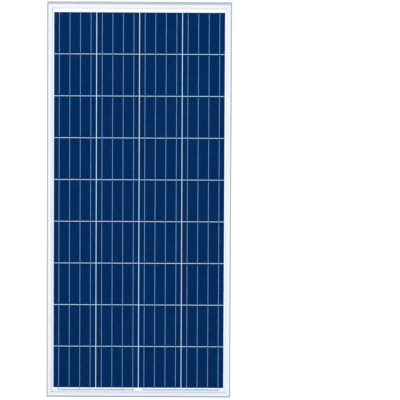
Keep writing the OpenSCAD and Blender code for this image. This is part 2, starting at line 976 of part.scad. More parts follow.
module along_plug(r, from, to) {
    translate([0, 0, from]) cylinder(r = r, h = to - from);
}

module plug_nut() {
    color("#1a1d21")
        difference() {
            union() {
                cylinder(r1 = plug_nut_end_r, r2 = plug_nut_r, h = plug_nut_cone);
                along_plug(plug_nut_r, plug_nut_cone, plug_nut_length);
            }
            along_plug(plug_thread_r + plug_play, plug_nut_wall, plug_nut_length + through);
            along_plug(plug_bore_r, -through, plug_nut_length);
            for (k = [0 : plug_grooves - 1])
                rotate([0, 0, 360 * k / plug_grooves])
                    translate([plug_nut_r - plug_groove_depth, -plug_groove[1] / 2, plug_groove_from])
                    cube([plug_groove[0], plug_groove[1], plug_nut_length]);
        }
}

// The seal grips the lead at the mouth of the body, inside the nut
module plug_seal() {
    color("dimgray")
        difference() {
            along_plug(plug_thread_r - 2 * plug_play, plug_seal_from, plug_core_from);
            along_plug(plug_bore_r, 0, plug_length);
        }
}

module plug_body_core() {
    along_plug(plug_thread_r, plug_core_from, plug_nut_length + through);
    along_plug(plug_body_r, plug_nut_length + plug_shoulder_gap, plug_shoulder);
}

module plug_core_bore() {
    along_plug(plug_bore_r, 0, plug_lead_depth + 2 * plug_play);
    along_plug(plug_contact_r + 2 * plug_play, 0, plug_lead_depth + plug_bore_length);
}

// The positive lead's plug ends in an open barrel with two spring arms round a pin
module plug_positive_body() {
    arm_length = plug_length - plug_shoulder - plug_arm_ends[1] + plug_arm_ends[0];
    color("#1a1d21")
        at_positive_plug() {
            difference() {
                union() {
                    plug_body_core();
                    along_plug(plug_barrel_r, plug_shoulder - through, plug_length);
                }
                plug_core_bore();
                along_plug(plug_socket_r, plug_shoulder + 2 * through, plug_length + through);
            }
            for (turn = [0, 180])
                rotate([0, 0, turn])
                    translate([
                        plug_barrel_r - plug_arm_lap, -plug_arm[1] / 2, plug_shoulder - plug_arm_ends[0]
                    ])
                    cube([plug_arm[0], plug_arm[1], arm_length]);
        }
}

module plug_positive_nut() { at_positive_plug() plug_nut(); }
module plug_positive_seal() { at_positive_plug() plug_seal(); }

module plug_positive_contact() {
    color("silver")
        at_positive_plug() along_plug(plug_contact_r, plug_contact_from, plug_length - plug_pin_inset);
}

// The negative lead's plug ends in a slim nose that hides a socket, with two latch windows behind it
module plug_negative_body() {
    color("#1a1d21")
        at_negative_plug()
        difference() {
            union() {
                plug_body_core();
                along_plug(plug_nose_r, plug_shoulder - through, plug_length);
            }
            plug_core_bore();
            along_plug(plug_sleeve_r + 2 * plug_play, plug_sleeve_from, plug_length + through);
            for (turn = [0, 180])
                rotate([0, 0, turn])
                    translate([plug_body_r - plug_catch[0] / 2, -plug_catch[1] / 2, plug_catch_from])
                    cube(plug_catch);
        }
}

module plug_negative_nut() { at_negative_plug() plug_nut(); }
module plug_negative_seal() { at_negative_plug() plug_seal(); }

module plug_negative_contact() {
    bore_from = plug_sleeve_from + plug_sleeve_solid;
    color("silver")
        at_negative_plug()
        difference() {
            union() {
                along_plug(plug_contact_r, plug_contact_from, plug_sleeve_from + through);
                along_plug(plug_sleeve_r, plug_sleeve_from + plug_play, plug_length - plug_sleeve_inset);
            }
            along_plug(plug_contact_r + plug_play, bore_from, plug_length + through);
        }
}

frame_rail_left();
frame_rail_right();
frame_rail_top();
frame_rail_bottom();
corner_keys();
corner_rivets();
edge_sealant();
front_glass();
front_encapsulant();
cell_string_1();
cell_string_2();
cell_string_3();
cell_string_4();
string_ribbons_1();
string_ribbons_2();
string_ribbons_3();
string_ribbons_4();
bus_ribbons_bottom();
bus_ribbons_top();
bus_cover_strip();
lead_out_insulator();
lead_out_ribbons();
rear_encapsulant();
backsheet();
rating_label();
serial_sticker();
jbox_adhesive();
jbox_base();
jbox_gasket();
jbox_lid();
jbox_hinge_pin();
terminal_positive();
terminal_middle();
terminal_negative();
bypass_diode_1();
bypass_diode_2();
conductor_ends();
gland_seal_positive();
gland_nut_positive();
gland_seal_negative();
gland_nut_negative();
lead_positive();
lead_negative();
lead_tie();
plug_positive_body();
plug_positive_nut();
plug_positive_seal();
plug_positive_contact();
plug_negative_body();
plug_negative_nut();
plug_negative_seal();
plug_negative_contact();
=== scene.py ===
"""Looks of the framed solar panel: camera, leads, finished pieces, materials, light and floor."""

import json
import math

import bmesh
import bpy
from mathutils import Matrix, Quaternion, Vector

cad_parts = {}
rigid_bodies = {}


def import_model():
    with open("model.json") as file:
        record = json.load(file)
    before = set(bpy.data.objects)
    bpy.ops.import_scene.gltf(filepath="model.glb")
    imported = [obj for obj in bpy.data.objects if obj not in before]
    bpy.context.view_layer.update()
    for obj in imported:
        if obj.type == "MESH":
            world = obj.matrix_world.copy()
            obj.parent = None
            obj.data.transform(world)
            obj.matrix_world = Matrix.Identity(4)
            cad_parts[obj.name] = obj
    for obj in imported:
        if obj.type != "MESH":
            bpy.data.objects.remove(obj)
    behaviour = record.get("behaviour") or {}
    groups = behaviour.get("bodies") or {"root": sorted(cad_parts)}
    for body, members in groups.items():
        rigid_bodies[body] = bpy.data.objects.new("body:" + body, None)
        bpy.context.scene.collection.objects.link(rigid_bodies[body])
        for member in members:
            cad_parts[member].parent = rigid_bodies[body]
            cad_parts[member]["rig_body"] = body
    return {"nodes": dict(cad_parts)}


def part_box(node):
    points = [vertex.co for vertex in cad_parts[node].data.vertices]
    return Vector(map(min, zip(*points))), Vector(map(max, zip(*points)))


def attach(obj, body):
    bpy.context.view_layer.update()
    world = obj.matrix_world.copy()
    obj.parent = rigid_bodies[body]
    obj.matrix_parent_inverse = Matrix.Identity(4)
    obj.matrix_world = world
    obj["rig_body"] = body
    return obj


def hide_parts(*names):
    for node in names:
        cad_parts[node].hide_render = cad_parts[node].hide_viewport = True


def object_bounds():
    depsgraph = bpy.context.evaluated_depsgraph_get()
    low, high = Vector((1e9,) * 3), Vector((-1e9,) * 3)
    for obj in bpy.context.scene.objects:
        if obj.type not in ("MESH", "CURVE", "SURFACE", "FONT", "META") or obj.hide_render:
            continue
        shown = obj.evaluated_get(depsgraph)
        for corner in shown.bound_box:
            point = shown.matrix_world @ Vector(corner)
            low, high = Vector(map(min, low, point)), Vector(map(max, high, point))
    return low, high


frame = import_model()
cad_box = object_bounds()
nodes = frame["nodes"]
MM = 0.001

# ---------- camera ----------

# Lens and sensor in millimetres, and the width seen at the panel in metres
LENS = 1000.0
SENSOR = 36.0
VIEW_WIDTH = 1.4927
CAMERA_ELEVATION = math.radians(11.7)
CAMERA_ROLL = math.radians(0.28)
CAMERA_TARGET = Vector((0.2275, 0.0, -0.0022))
CLIP_START = 1.0
CLIP_REACH = 4.0


def make_camera():
    """A long lens in front of the panel and a little above it."""
    data = bpy.data.cameras.new("camera")
    data.lens = LENS
    data.sensor_width = SENSOR
    distance = VIEW_WIDTH * LENS / SENSOR
    data.clip_start = CLIP_START
    data.clip_end = CLIP_REACH * distance
    camera = bpy.data.objects.new("camera", data)
    back = Vector((0.0, -math.cos(CAMERA_ELEVATION), math.sin(CAMERA_ELEVATION)))
    camera.location = CAMERA_TARGET + distance * back
    camera.rotation_mode = "QUATERNION"
    roll = Quaternion((0.0, 0.0, 1.0), CAMERA_ROLL)
    camera.rotation_quaternion = (-back).to_track_quat("-Z", "Y") @ roll
    bpy.context.scene.collection.objects.link(camera)
    bpy.context.scene.camera = camera


# ---------- leads ----------

# Lead routes in millimetres, as in the part's source:
# [to the right seen from behind, below the panel's top edge, above the backsheet]
COIL_SIDE = 96.0
COIL_DROP = 224.0
COIL_LIFT = 4.6
COIL_OUTER = (62.5, 72.5)
COIL_INNER = (55.5, 65.5)
COIL_SHRINK = 7.0
COIL_FROM = 27
COIL_STEP = 14
POSITIVE_COIL_TO = 322
NEGATIVE_COIL_TO = 377
CLIMB = 11.0
CLIMB_FROM = 250.0
CLIMB_OVER = 75.0
SHRINK_FROM = 180.0
SHRINK_OVER = 190.0
LEAD_DIAMETER = 6.0
LEAD_ROUNDNESS = 6
LEAD_STEPS = 8
PLUG_LEAD_DEPTH = 10.0
POSITIVE_START = [
    (-12.5, 110, 10), (-12.5, 124, 10), (-12.5, 140, 10), (-11.5, 152, 9.6), (-7.5, 164, 8.2),
    (-2, 176, 6.4), (5, 188, 5), (12.5, 200, 4.6), (20.5, 211.5, 4.6), (28, 223.5, 4.6),
    (33, 235, 4.6), (36.6, 245.5, 4.6),
]
POSITIVE_END = [(37.7, 192.3, 16.8), (34.2, 198.9, 17.4), (32.6, 206.3, 17.8), (32.9, 213.7, 18)]
NEGATIVE_START = [
    (12.5, 110, 10), (12.5, 124, 10), (12.5, 140, 10), (12.8, 152, 9.6), (14.2, 164, 8.2),
    (17, 176, 6.4), (21, 187.5, 5), (25.8, 198.5, 4.6), (30.6, 209.5, 4.6), (35, 220.5, 4.6),
    (39, 231.5, 4.6), (42.5, 242, 4.6),
]
NEGATIVE_END = [(55.5, 257.1, 5.8), (63.4, 268, 8.6), (72.4, 274.2, 10.6), (81.8, 276.1, 11.2)]
POSITIVE_PLUG = ((35.2, 221, 18), (56.4, 266.3, 18))
NEGATIVE_PLUG = ((91, 274, 11.2), (136.7, 253.7, 11.2))
# Length of each lead along its line, in metres
POSITIVE_LENGTH = 0.560
NEGATIVE_LENGTH = 0.577

panel_top = cad_box[1].z
sheet_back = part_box("backsheet")[1].y


def smooth(x):
    """A gentle step from 0 to 1."""
    c = min(1.0, max(0.0, x))
    return c * c * (3 - 2 * c)


def placed(point):
    """A route's point in the row frame, in metres."""
    return Vector((-point[0] * MM, sheet_back + point[2] * MM, panel_top - point[1] * MM))


def ellipse_point(axes, angle, lift):
    """A point of the coil, in a route's own millimetres."""
    t = math.radians(angle)
    return (COIL_SIDE - axes[0] * math.cos(t), COIL_DROP + axes[1] * math.sin(t), lift)


def positive_coil_point(angle):
    """The outer turn, which climbs over the other lead where it closes."""
    lift = COIL_LIFT + CLIMB * smooth((angle - CLIMB_FROM) / CLIMB_OVER)
    return ellipse_point(COIL_OUTER, angle, lift)


def negative_coil_point(angle):
    """The inner turn, which shrinks to pass inside its own start."""
    less = COIL_SHRINK * smooth((angle - SHRINK_FROM) / SHRINK_OVER)
    return ellipse_point((COIL_INNER[0] - less, COIL_INNER[1] - less), angle, COIL_LIFT)


def plug_direction(plug):
    """The way a plug points, in the row frame."""
    return (placed(plug[1]) - placed(plug[0])).normalized()


def lead_route(start, coil_point, coil_to, end, plug):
    """All the points of one lead, from inside the junction box to inside its plug."""
    coil = [coil_point(angle) for angle in range(COIL_FROM, coil_to + 1, COIL_STEP)]
    points = [placed(p) for p in [*start, *coil, *end, plug[0]]]
    points.append(points[-1] + PLUG_LEAD_DEPTH * MM * plug_direction(plug))
    return points


def make_lead(name, points):
    """A round tube on one smooth open spline through the points.

    The bevel is one metre and each knot's radius shrinks it to the lead, because a curve's
    bounds grow by its knots' radii."""
    curve = bpy.data.curves.new(name, "CURVE")
    curve.dimensions = "3D"
    curve.bevel_depth = 1.0
    curve.bevel_resolution = LEAD_ROUNDNESS
    curve.resolution_u = LEAD_STEPS
    curve.use_fill_caps = True
    spline = curve.splines.new("BEZIER")
    spline.bezier_points.add(len(points) - 1)
    for knot, point in zip(spline.bezier_points, points):
        knot.co = point
        knot.radius = LEAD_DIAMETER / 2 * MM
        knot.handle_left_type = "AUTO"
        knot.handle_right_type = "AUTO"
    lead = bpy.data.objects.new(name, curve)
    bpy.context.scene.collection.objects.link(lead)
    return lead


# ---------- finished copies of CAD nodes ----------

WELD = 0.001 * MM
FLAT_ANGLE = math.radians(0.4)
SHARP_ANGLE = math.radians(30)
VOLUME_CHANGE = 0.03
EDGE_SEGMENTS = 2
ROUND_PROFILE = 0.5
WIDTH_TRIES = (1.0, 0.5, 0.25)


def closed(bm):
    """True if every edge has exactly two faces."""
    return all(len(edge.link_faces) == 2 for edge in bm.edges)


def welded(source):
    """The node's mesh with its split vertices joined again and its flat faces merged."""
    bm = bmesh.new()
    bm.from_mesh(source)
    bmesh.ops.remove_doubles(bm, verts=bm.verts, dist=WELD)
    bmesh.ops.dissolve_limit(bm, angle_limit=FLAT_ANGLE, verts=bm.verts, edges=bm.edges)
    return bm


def rounded_edges(bm, width):
    """A copy with its sharp edges rounded, or None where that leaves the mesh open or misshapen."""
    before = bm.calc_volume()
    copy = bm.copy()
    joined = [edge for edge in copy.edges if len(edge.link_faces) == 2]
    sharp = [edge for edge in joined if edge.calc_face_angle(0.0) > SHARP_ANGLE]
    bmesh.ops.bevel(
        copy, geom=sharp, offset=width, segments=EDGE_SEGMENTS, profile=ROUND_PROFILE,
        affect="EDGES", clamp_overlap=True,
    )
    bmesh.ops.remove_doubles(copy, verts=copy.verts, dist=WELD)
    if closed(copy) and abs(copy.calc_volume() / before - 1) < VOLUME_CHANGE:
        return copy
    copy.free()
    return None


def finished(node_name, width):
    """A piece that stands for a CAD node, with its sharp edges rounded to the width in millimetres.

    A narrower width is tried where the full one fails, and the node itself shows if all fail."""
    source = nodes[node_name]
    bm = welded(source.data)
    result = None
    for share in WIDTH_TRIES:
        result = rounded_edges(bm, width * share * MM)
        if result is not None:
            break
    if result is None:
        print("no rounding on", node_name)
        bm.free()
        return source
    name = node_name + "_finished"
    mesh = bpy.data.meshes.new(name)
    result.to_mesh(mesh)
    result.free()
    bm.free()
    mesh.shade_smooth()
    mesh.set_sharp_from_angle(angle=SHARP_ANGLE)
    piece = bpy.data.objects.new(name, mesh)
    bpy.context.scene.collection.objects.link(piece)
    normals = piece.modifiers.new("normals", "WEIGHTED_NORMAL")
    normals.keep_sharp = True
    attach(piece, source["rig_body"])
    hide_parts(node_name)
    return piece


GLASS_ARRIS = 0.6 * MM
FILM_LEFT = 0.2 * MM


def make_pane():
    """The front glass with the clear film bonded behind it, its edges ground off."""
    low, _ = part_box("front_glass")
    _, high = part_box("front_encapsulant")
    high = high - Vector((0.0, FILM_LEFT, 0.0))
    bm = bmesh.new()
    bmesh.ops.create_cube(bm, size=1.0)
    bmesh.ops.scale(bm, vec=high - low, verts=bm.verts)
    bmesh.ops.translate(bm, vec=(low + high) / 2, verts=bm.verts)
    bmesh.ops.bevel(
        bm, geom=bm.edges, offset=GLASS_ARRIS, segments=EDGE_SEGMENTS, profile=ROUND_PROFILE,
        affect="EDGES",
    )
    mesh = bpy.data.meshes.new("glass_pane")
    bm.to_mesh(mesh)
    bm.free()
    pane = bpy.data.objects.new("glass_pane", mesh)
    bpy.context.scene.collection.objects.link(pane)
    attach(pane, "root")
    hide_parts("front_glass", "front_encapsulant")
    return pane


# ---------- materials ----------

# A noise lies mostly between these values
NOISE_LOW = 0.3
NOISE_HIGH = 0.7


class Material:
    """A node material with short calls for the nodes this scene uses."""

    def __init__(self, name):
        self.data = bpy.data.materials.new(name)
        self.data.use_nodes = True
        self.tree = self.data.node_tree
        self.tree.nodes.clear()
        self.output = self.node("ShaderNodeOutputMaterial")
        self.place = self.node("ShaderNodeTexCoord").outputs["Object"]

    def node(self, kind, settings=None, **inputs):
        """A new node with its settings and inputs; a socket given as an input is linked.

        An input is given by its name, or by i and its number where names repeat."""
        made = self.tree.nodes.new(kind)
        for key, value in (settings or {}).items():
            setattr(made, key, value)
        for key, value in inputs.items():
            numbered = key[1:].isdigit()
            socket = made.inputs[int(key[1:]) if numbered else key.replace("_", " ")]
            if isinstance(value, bpy.types.NodeSocket):
                self.tree.links.new(value, socket)
            else:
                socket.default_value = value
        return made

    def math(self, operation, a, b=0.0):
        """The result of one sum on numbers or sockets."""
        return self.node("ShaderNodeMath", {"operation": operation}, i0=a, i1=b).outputs[0]

    def across(self, value, start, pitch):
        """How many pitches a place lies past the start."""
        return self.math("DIVIDE", self.math("SUBTRACT", value, start), pitch)

    def off_middle(self, value):
        """How far the fraction of a value lies from one half."""
        return self.math("ABSOLUTE", self.math("SUBTRACT", self.math("FRACT", value), 0.5))

    def axes(self, place=None):
        """The x, y and z of a place, as three sockets."""
        split = self.node("ShaderNodeSeparateXYZ", Vector=place or self.place)
        return split.outputs

    def stretched(self, scale):
        """The object's coordinates, scaled along each axis."""
        return self.node("ShaderNodeMapping", Vector=self.place, Scale=scale).outputs[0]

    def noise(self, scale, detail, place=None, distortion=0.0):
        """A cloudy value, finer where its scale is larger."""
        made = self.node(
            "ShaderNodeTexNoise", Vector=place or self.place, Scale=scale, Detail=detail,
            Distortion=distortion,
        )
        return made.outputs["Fac"]

    def spread(self, value, low, high, from_low=NOISE_LOW, from_high=NOISE_HIGH):
        """A value moved from one range to another, clamped."""
        made = self.node(
            "ShaderNodeMapRange", Value=value, From_Min=from_low, From_Max=from_high,
            To_Min=low, To_Max=high,
        )
        return made.outputs[0]

    def uneven(self, value, roughness, less, more, from_low=NOISE_LOW, from_high=NOISE_HIGH):
        """A roughness that falls and rises a little with a noise."""
        return self.spread(value, roughness - less, roughness + more, from_low, from_high)

    def mix(self, factor, a, b):
        """A mix of two colours."""
        made = self.node("ShaderNodeMix", {"data_type": "RGBA"}, i0=factor, i6=rgba(a), i7=rgba(b))
        return made.outputs[2]

    def varied(self, value, colour, darkest, lightest):
        """A colour that is darker where a noise is low and lighter where it is high."""
        return self.mix(self.spread(value, 0.0, 1.0), shade(colour, darkest), shade(colour, lightest))

    def bump(self, height, distance):
        """The normal of a surface raised by a height."""
        return self.node("ShaderNodeBump", Height=height, Distance=distance).outputs[0]

    def shader(self, **inputs):
        """The surface itself, linked to the output."""
        made = self.node("ShaderNodeBsdfPrincipled", **inputs)
        self.tree.links.new(made.outputs[0], self.output.inputs["Surface"])
        return made


def rgba(colour):
    """A colour with its fourth number, or a socket as it is."""
    return colour if isinstance(colour, bpy.types.NodeSocket) else (*colour, 1.0)


def shade(colour, factor):
    """A colour made darker or lighter."""
    return tuple(min(1.0, channel * factor) for channel in colour)


# The frame's bevels and rear faces are painted greyer than its front lip, as painted shade; a bevel
# that faces down gets more painted shade than one that faces up.
# A normal's y is -1 on the lip, between these two values on a bevel, and above REAR_NORMAL on a rear
# face.
# Its z is BEVEL_TILT on a bevel that faces up and minus that on one that faces down.
BEVEL_NORMAL = (-0.93, -0.70)
BEVEL_TILT = 0.57
REAR_NORMAL = 0.25
PAINTED_SHADE_BEVEL_UP = 0.78
PAINTED_SHADE_BEVEL_DOWN = 0.34
PAINTED_SHADE_REAR = 0.4
STREAK_DEPTH = 0.02 * MM
EVEN_MIX = 0.5


def painted_bevel_shade_mask(m, rearward):
    """1 on faces tilted between the front and the sides, where the frame's painted shade goes, 0 on
    square ones.
    """
    over = m.math("GREATER_THAN", rearward, BEVEL_NORMAL[0])
    return m.math("MULTIPLY", over, m.math("LESS_THAN", rearward, BEVEL_NORMAL[1]))


def brushed_metal(name, colour, roughness, stretch, painted_frame_shade=False):
    """Metal with drawn streaks along one axis and faint handling marks; on the frame, painted shade
    darkens its bevels and rear faces.
    """
    m = Material(name)
    streaks = m.noise(scale=1.0, detail=4.0, place=m.stretched(stretch))
    marks = m.noise(scale=6.0, detail=5.0, distortion=0.6)
    handled = m.varied(marks, colour, darkest=0.94, lightest=1.03)
    drawn = m.varied(streaks, colour, darkest=0.97, lightest=1.03)
    surface = m.mix(EVEN_MIX, handled, drawn)
    # Painted shade: bevels darkened, most where they face down, and rear faces darkened
    if painted_frame_shade:
        _, rearward, upward = m.axes(m.node("ShaderNodeNewGeometry").outputs["True Normal"])
        facing_up = m.spread(upward, low=0.0, high=1.0, from_low=-BEVEL_TILT, from_high=BEVEL_TILT)
        bevel = m.mix(facing_up, shade(colour, PAINTED_SHADE_BEVEL_DOWN), shade(colour, PAINTED_SHADE_BEVEL_UP))
        surface = m.mix(painted_bevel_shade_mask(m, rearward), surface, bevel)
        rear = m.math("GREATER_THAN", rearward, REAR_NORMAL)
        surface = m.mix(rear, surface, shade(colour, PAINTED_SHADE_REAR))
    both = m.math("ADD", streaks, marks)
    m.shader(
        Base_Color=surface,
        Metallic=1.0,
        Roughness=m.uneven(both, roughness, less=0.05, more=0.07, from_low=0.7, from_high=1.3),
        Normal=m.bump(streaks, STREAK_DEPTH),
    )
    return m.data


PLASTIC_DEPTH = 0.03 * MM


def moulded_plastic(name, colour, roughness, grain=2600.0, specular=0.4):
    """Plastic with a spark-eroded grain and a slight unevenness of tone."""
    m = Material(name)
    texture = m.noise(scale=grain, detail=2.0)
    cloud = m.noise(scale=35.0, detail=4.0)
    m.shader(
        Base_Color=m.varied(cloud, colour, darkest=0.82, lightest=1.2),
        Roughness=m.uneven(cloud, roughness, less=0.05, more=0.06),
        Specular_IOR_Level=specular,
        Normal=m.bump(texture, PLASTIC_DEPTH),
    )
    return m.data


RUBBER_DEPTH = 0.06 * MM


def rubber(name, colour):
    """Cured rubber or silicone with a skin of fine ripples."""
    m = Material(name)
    ripples = m.noise(scale=700.0, detail=3.0)
    skin = m.noise(scale=320.0, detail=2.0)
    m.shader(
        Base_Color=m.varied(ripples, colour, darkest=0.9, lightest=1.08),
        Roughness=m.spread(ripples, low=0.54, high=0.66),
        Normal=m.bump(skin, RUBBER_DEPTH),
    )
    return m.data


GLASS_DEPTH = 0.004 * MM
GLASS_MIRROR = (0.75, 0.85, 0.9)
GLASS_CLEAR = (0.99, 0.998, 0.998)
GLASS_SHEEN_POWER = 8.0


def solar_glass(name):
    """Low-iron glass: clear and very slightly tinted face on, a mirror at a slant."""
    m = Material(name)
    grain = m.noise(scale=900.0, detail=2.0)
    facing = m.node("ShaderNodeLayerWeight", Blend=0.5).outputs["Facing"]
    sheen = m.math("POWER", facing, GLASS_SHEEN_POWER)
    mirror = m.node(
        "ShaderNodeBsdfPrincipled", Base_Color=rgba(GLASS_MIRROR), Metallic=1.0,
        Roughness=m.spread(grain, low=0.1, high=0.16), Normal=m.bump(grain, GLASS_DEPTH),
    )
    clear = m.node("ShaderNodeBsdfTransparent", Color=rgba(GLASS_CLEAR))
    both = m.node("ShaderNodeMixShader", i0=sheen, i1=clear.outputs[0], i2=mirror.outputs[0])
    m.tree.links.new(both.outputs[0], m.output.inputs["Surface"])
    return m.data


CELL_BLUE = (0.0005, 0.0164, 0.0875)
CELL_TEAL = (0.0005, 0.0245, 0.094)
CELL_DEEP = (0.0004, 0.0103, 0.0715)
FINGER = (0.012, 0.075, 0.210)
FINGER_PITCH = 2.0 * MM
FINGER_SHARE = 0.07
FINGER_DEPTH = 0.02 * MM
WARP_SCALE = 60.0
WARP_REACH = 8.0 * MM
CRYSTAL_SCALE = 95.0
SHARD_SCALE = 240.0
# More than the number of strings, so that each cell has a number of its own
ROW_STEP = 7.0
CELLS_PER_STRING = 9
RIBBONS_PER_CELL = 4

# The grid of cells, measured from the first two strings
field_low, string_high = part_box("cell_string_1")
cell_width = string_high.x - field_low.x
cell_pitch = (string_high.z - field_low.z - cell_width) / (CELLS_PER_STRING - 1)
string_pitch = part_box("cell_string_2")[0].x - field_low.x


def crystal_place(m):
    """The object's coordinates, bent a little so that crystals get uneven edges."""
    noise = m.node("ShaderNodeTexNoise", Vector=m.place, Scale=WARP_SCALE, Detail=2.0)
    bend = m.node(
        "ShaderNodeVectorMath", {"operation": "SCALE"}, i0=noise.outputs["Color"], Scale=WARP_REACH
    )
    added = m.node("ShaderNodeVectorMath", {"operation": "ADD"}, i0=m.place, i1=bend.outputs[0])
    return added.outputs[0]


def random_value(m, whole_number):
    """A value from 0 to 1 that depends only on a whole number."""
    made = m.node("ShaderNodeTexWhiteNoise", {"noise_dimensions": "1D"}, W=whole_number)
    return made.outputs["Value"]


def crystals(m, place, scale):
    """Three random values for each crystal of one size."""
    return m.axes(m.node("ShaderNodeTexVoronoi", Vector=place, Scale=scale).outputs["Color"])


def silicon(name):
    """Polycrystalline cells: crystals of slightly different blues under printed fingers."""
    m = Material(name)
    x, _, z = m.axes()
    column = m.across(x, field_low.x, string_pitch)
    row = m.across(z, field_low.z, cell_pitch)
    first_in_row = m.math("MULTIPLY", m.math("FLOOR", row), ROW_STEP)
    own_tone = random_value(m, m.math("ADD", m.math("FLOOR", column), first_in_row))
    place = crystal_place(m)
    large = crystals(m, place, CRYSTAL_SCALE)
    small = crystals(m, place, SHARD_SCALE)
    tone = CELL_BLUE
    for value, share, towards in (
        (large[0], 0.75, CELL_TEAL), (large[1], 0.6, CELL_DEEP),
        (small[0], 0.3, CELL_TEAL), (own_tone, 0.3, CELL_DEEP),
    ):
        tone = m.mix(m.math("MULTIPLY", value, share), tone, towards)
    in_cell = m.math("MULTIPLY", m.math("FRACT", row), cell_pitch)
    off = m.off_middle(m.math("DIVIDE", in_cell, FINGER_PITCH))
    finger = m.spread(off, low=1.0, high=0.0, from_low=FINGER_SHARE / 2, from_high=FINGER_SHARE)
    m.shader(
        Base_Color=m.mix(finger, tone, FINGER),
        Roughness=m.spread(large[2], low=0.32, high=0.5, from_low=0.0, from_high=1.0),
        Specular_IOR_Level=0.0,
        Normal=m.bump(finger, FINGER_DEPTH),
    )
    return m.data


RIPPLE_DEPTH = 0.06 * MM


def solder_ribbon(name, colour):
    """Tinned copper strip with the ripples that soldering leaves."""
    m = Material(name)
    ripple = m.noise(scale=380.0, detail=3.0)
    stain = m.noise(scale=60.0, detail=3.0)
    m.shader(
        Base_Color=m.varied(stain, colour, darkest=0.88, lightest=1.1),
        Metallic=1.0,
        Roughness=m.spread(ripple, low=0.28, high=0.46),
        Normal=m.bump(ripple, RIPPLE_DEPTH),
    )
    return m.data


def painted_gap_shade_mask(m):
    """1 inside the outline of the whole cell field, where the film's painted gap shade goes, 0 on the
    margins.
    """
    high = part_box("cell_string_4")[1]
    x, _, z = m.axes()
    inside = []
    for value, start, end in ((x, field_low.x, high.x), (z, field_low.z, high.z)):
        off = m.math("ABSOLUTE", m.math("SUBTRACT", value, (start + end) / 2))
        inside.append(m.math("LESS_THAN", off, (end - start) / 2))
    return m.math("MULTIPLY", *inside)


RIDGE_SHARE = 0.06
RIDGE_HEIGHT = 0.6
GRAIN_HEIGHT = 0.2
FILM_DEPTH = 0.12 * MM


def laminate_film(name, colour, painted_gap_shade=None):
    """Matt film with a fine grain and the faint print-through of the cell ribbons.

    A painted gap shade is a darker, bluer colour painted on the film between the cells, standing in
    for their shade and the blue light they cast on it."""
    m = Material(name)
    column = m.across(m.axes()[0], field_low.x, string_pitch)
    in_string = m.math("MULTIPLY", m.math("FRACT", column), string_pitch)
    off = m.off_middle(m.math("DIVIDE", in_string, cell_width / RIBBONS_PER_CELL))
    ridge = m.spread(off, low=1.0, high=0.0, from_low=0.0, from_high=RIDGE_SHARE)
    grain = m.noise(scale=1500.0, detail=2.0)
    wave = m.noise(scale=9.0, detail=3.0)
    rough = m.math("ADD", m.math("MULTIPLY", grain, GRAIN_HEIGHT), wave)
    height = m.math("ADD", m.math("MULTIPLY", ridge, RIDGE_HEIGHT), rough)
    surface = m.varied(wave, colour, darkest=0.985, lightest=1.01)
    # Painted shade: the film within the cell field is coloured darker and bluer
    if painted_gap_shade:
        surface = m.mix(painted_gap_shade_mask(m), surface, painted_gap_shade)
    m.shader(
        Base_Color=surface,
        Roughness=m.spread(grain, low=0.5, high=0.62),
        Specular_IOR_Level=0.25,
        Normal=m.bump(height, FILM_DEPTH),
    )
    return m.data


PRINT_START = 0.92
PRINT_LOW = 0.08
PRINT_HIGH = 0.9
SHORTEST_ROW = 0.25
LONGEST_ROW = 0.62
INK_SHARE = 0.8
LABEL_DEPTH = 0.03 * MM


def printed_label(name, node_name, colour, ink, rows, fill):
    """A printed film label with unlettered rows of plain bars of uneven lengths.

    The rows start near the label's high x, which is its left edge seen from behind."""
    m = Material(name)
    low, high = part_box(node_name)
    x, _, z = m.axes()
    across = m.across(x, low.x, high.x - low.x)
    up = m.across(z, low.z, high.z - low.z)
    row = m.math("MULTIPLY", up, float(rows))
    length = m.spread(
        random_value(m, m.math("FLOOR", row)), SHORTEST_ROW, LONGEST_ROW, from_low=0.0, from_high=1.0
    )
    bars = m.math("LESS_THAN", m.math("FRACT", row), fill)
    for limit in (
        m.math("GREATER_THAN", up, PRINT_LOW),
        m.math("LESS_THAN", up, PRINT_HIGH),
        m.math("GREATER_THAN", across, m.math("SUBTRACT", PRINT_START, length)),
        m.math("LESS_THAN", across, PRINT_START),
    ):
        bars = m.math("MULTIPLY", bars, limit)
    cloud = m.noise(scale=50.0, detail=2.0)
    paper = m.varied(cloud, colour, darkest=0.95, lightest=1.05)
    m.shader(
        Base_Color=m.mix(m.math("MULTIPLY", bars, INK_SHARE), paper, ink),
        Roughness=m.spread(m.noise(scale=900.0, detail=2.0), low=0.34, high=0.44),
        Specular_IOR_Level=0.4,
        Normal=m.bump(cloud, LABEL_DEPTH),
    )
    return m.data


def dress(piece, material):
    """Gives every material slot of the piece one material."""
    data = piece.data
    if not data.materials:
        data.materials.append(material)
    for i in range(len(data.materials)):
        data.materials[i] = material


# ---------- light and floor ----------

# The floor and the softboxes are in metres and watts
FLOOR_SIDE = 120.0
FLOOR_DROP = 0.1 * MM
FLOOR_BASE = (0.5, 0.5, 0.5)
FLOOR_GLOW = (1.0, 1.0, 1.0)
FLOOR_STRENGTH = 0.68
SKY = (0.985, 0.99, 1.0)
FRONT_STRENGTH = 1.05
REAR_STRENGTH = 0.55
BACKGROUND_STRENGTH = 1.05


def make_floor():
    """A plain pale floor that reaches past every view's edge."""
    half = FLOOR_SIDE / 2
    level = cad_box[0].z - FLOOR_DROP
    mesh = bpy.data.meshes.new("floor")
    corners = [(-half, -half, level), (half, -half, level), (half, half, level), (-half, half, level)]
    mesh.from_pydata(corners, [], [(0, 1, 2, 3)])
    floor = bpy.data.objects.new("floor", mesh)
    bpy.context.scene.collection.objects.link(floor)
    m = Material("pale_floor")
    m.shader(
        Base_Color=rgba(FLOOR_BASE), Roughness=0.9, Specular_IOR_Level=0.1,
        Emission_Color=rgba(FLOOR_GLOW), Emission_Strength=FLOOR_STRENGTH,
    )
    mesh.materials.append(m.data)


